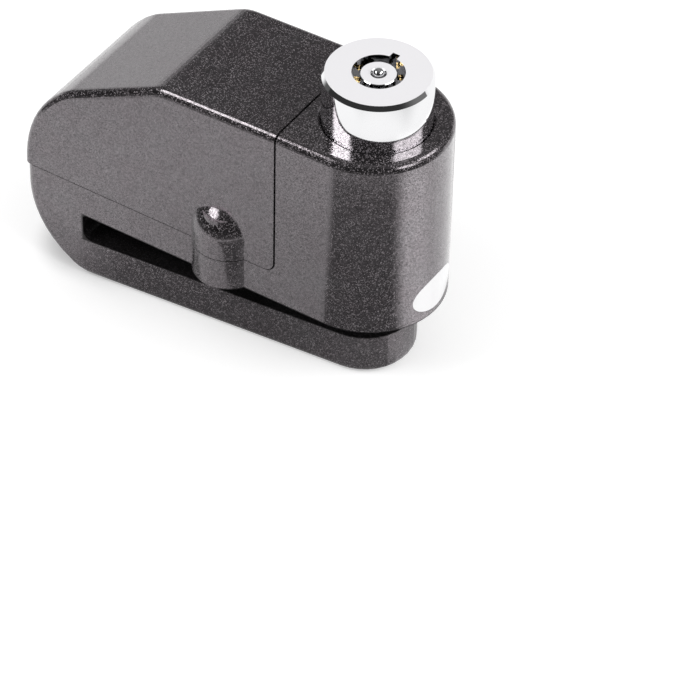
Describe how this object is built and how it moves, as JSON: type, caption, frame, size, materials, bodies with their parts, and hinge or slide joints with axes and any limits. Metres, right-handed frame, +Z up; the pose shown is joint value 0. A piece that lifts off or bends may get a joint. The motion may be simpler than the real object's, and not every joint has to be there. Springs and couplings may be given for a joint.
{
  "type": "disc brake lock",
  "caption": "Motorcycle disc brake lock with an alarm housing: slotted jaw body, screwed-on cover, spring-raised chrome plunger with a tubular lock core and a locking pin.",
  "frame": {"origin": "on the locking pin's axis, on the flat underside of the jaw", "axes": "+X towards the rounded front with the lock cylinder, +Z up along the plunger's axis, Y across the brake disc's slot"},
  "size_m": [0.0815, 0.0358, 0.0645],
  "materials": {
    "body_paint": "metallic charcoal paint, glossy clear coat",
    "plunger_chrome": "mirror chrome",
    "bright_steel": "ground steel",
    "screw_steel": "zinc plated steel",
    "spring_steel": "drawn wire",
    "lock_brass": "turned brass",
    "cell_steel": "nickel plated",
    "rubber_black": "matt",
    "white_gloss": "glossy",
    "black_plastic": "fine moulded texture",
    "red_plastic": "moulded",
    "board_green": "solder resist",
    "coil_copper": "enamelled winding",
    "sensor_plate": "plated",
    "mesh_steel": "woven mesh"
  },
  "bodies": {
    "housing": {"lock_body": "body_paint", "alarm_cover": "body_paint", "cover_gasket": "rubber_black", "cover_screws": "screw_steel", "oval_inlay": "white_gloss", "plunger_seal": "rubber_black", "stop_pin": "bright_steel", "return_spring": "spring_steel", "alarm_tray": "black_plastic", "module_screws": "bright_steel", "circuit_board": "board_green", "siren_case": "black_plastic", "siren_disc": "lock_brass", "sound_mesh": "mesh_steel", "battery_holder": "black_plastic", "battery_cells": "cell_steel", "battery_contacts": "lock_brass", "battery_link": "lock_brass", "battery_lid": "black_plastic", "shock_sensor": "sensor_plate", "controller_chip": "black_plastic", "boost_coil": "coil_copper", "arming_switch": "black_plastic"},
    "arming_rod": {"switch_button": "red_plastic", "switch_rod": "bright_steel"},
    "plunger": {"plunger_shell": "plunger_chrome", "plunger_base": "bright_steel", "base_screws": "bright_steel", "locking_pin": "bright_steel", "driver_sleeve": "lock_brass", "sleeve_pin": "bright_steel", "driver_pins": "lock_brass", "tumbler_springs": "spring_steel", "latch_spring": "spring_steel"},
    "core": {"core_spindle": "bright_steel", "key_pins": "lock_brass", "core_ball": "bright_steel", "core_cam": "bright_steel"},
    "latch": {"latch_bolt": "bright_steel"}
  },
  "joints": [
    {"name": "plunger_press", "type": "slide", "parent": "housing", "child": "plunger", "axis": [0, 0, -1], "range_m": [0, 0.009], "stiffness_N_per_m": 1220, "springref_m": -0.005, "deforming": ["return_spring"]},
    {"name": "key_turn", "type": "hinge", "parent": "plunger", "child": "core", "pos_m": [0, 0, 0.0638], "axis": [0, 0, -1], "range_deg": [0, 90]},
    {"name": "latch_retract", "type": "slide", "parent": "plunger", "child": "latch", "axis": [-1, 0, 0], "range_m": [0, 0.00212], "stiffness_N_per_m": 200, "springref_m": -0.003},
    {"name": "switch_press", "type": "slide", "parent": "housing", "child": "arming_rod", "axis": [-1, 0, 0], "range_m": [0, 0.00062]}
  ],
  "couplings": [
    {"joint": "key_turn", "follows": "latch_retract", "rad_per_m": 740.48},
    {"joint": "switch_press", "follows": "plunger_press", "ratio": 0.066667}
  ]
}
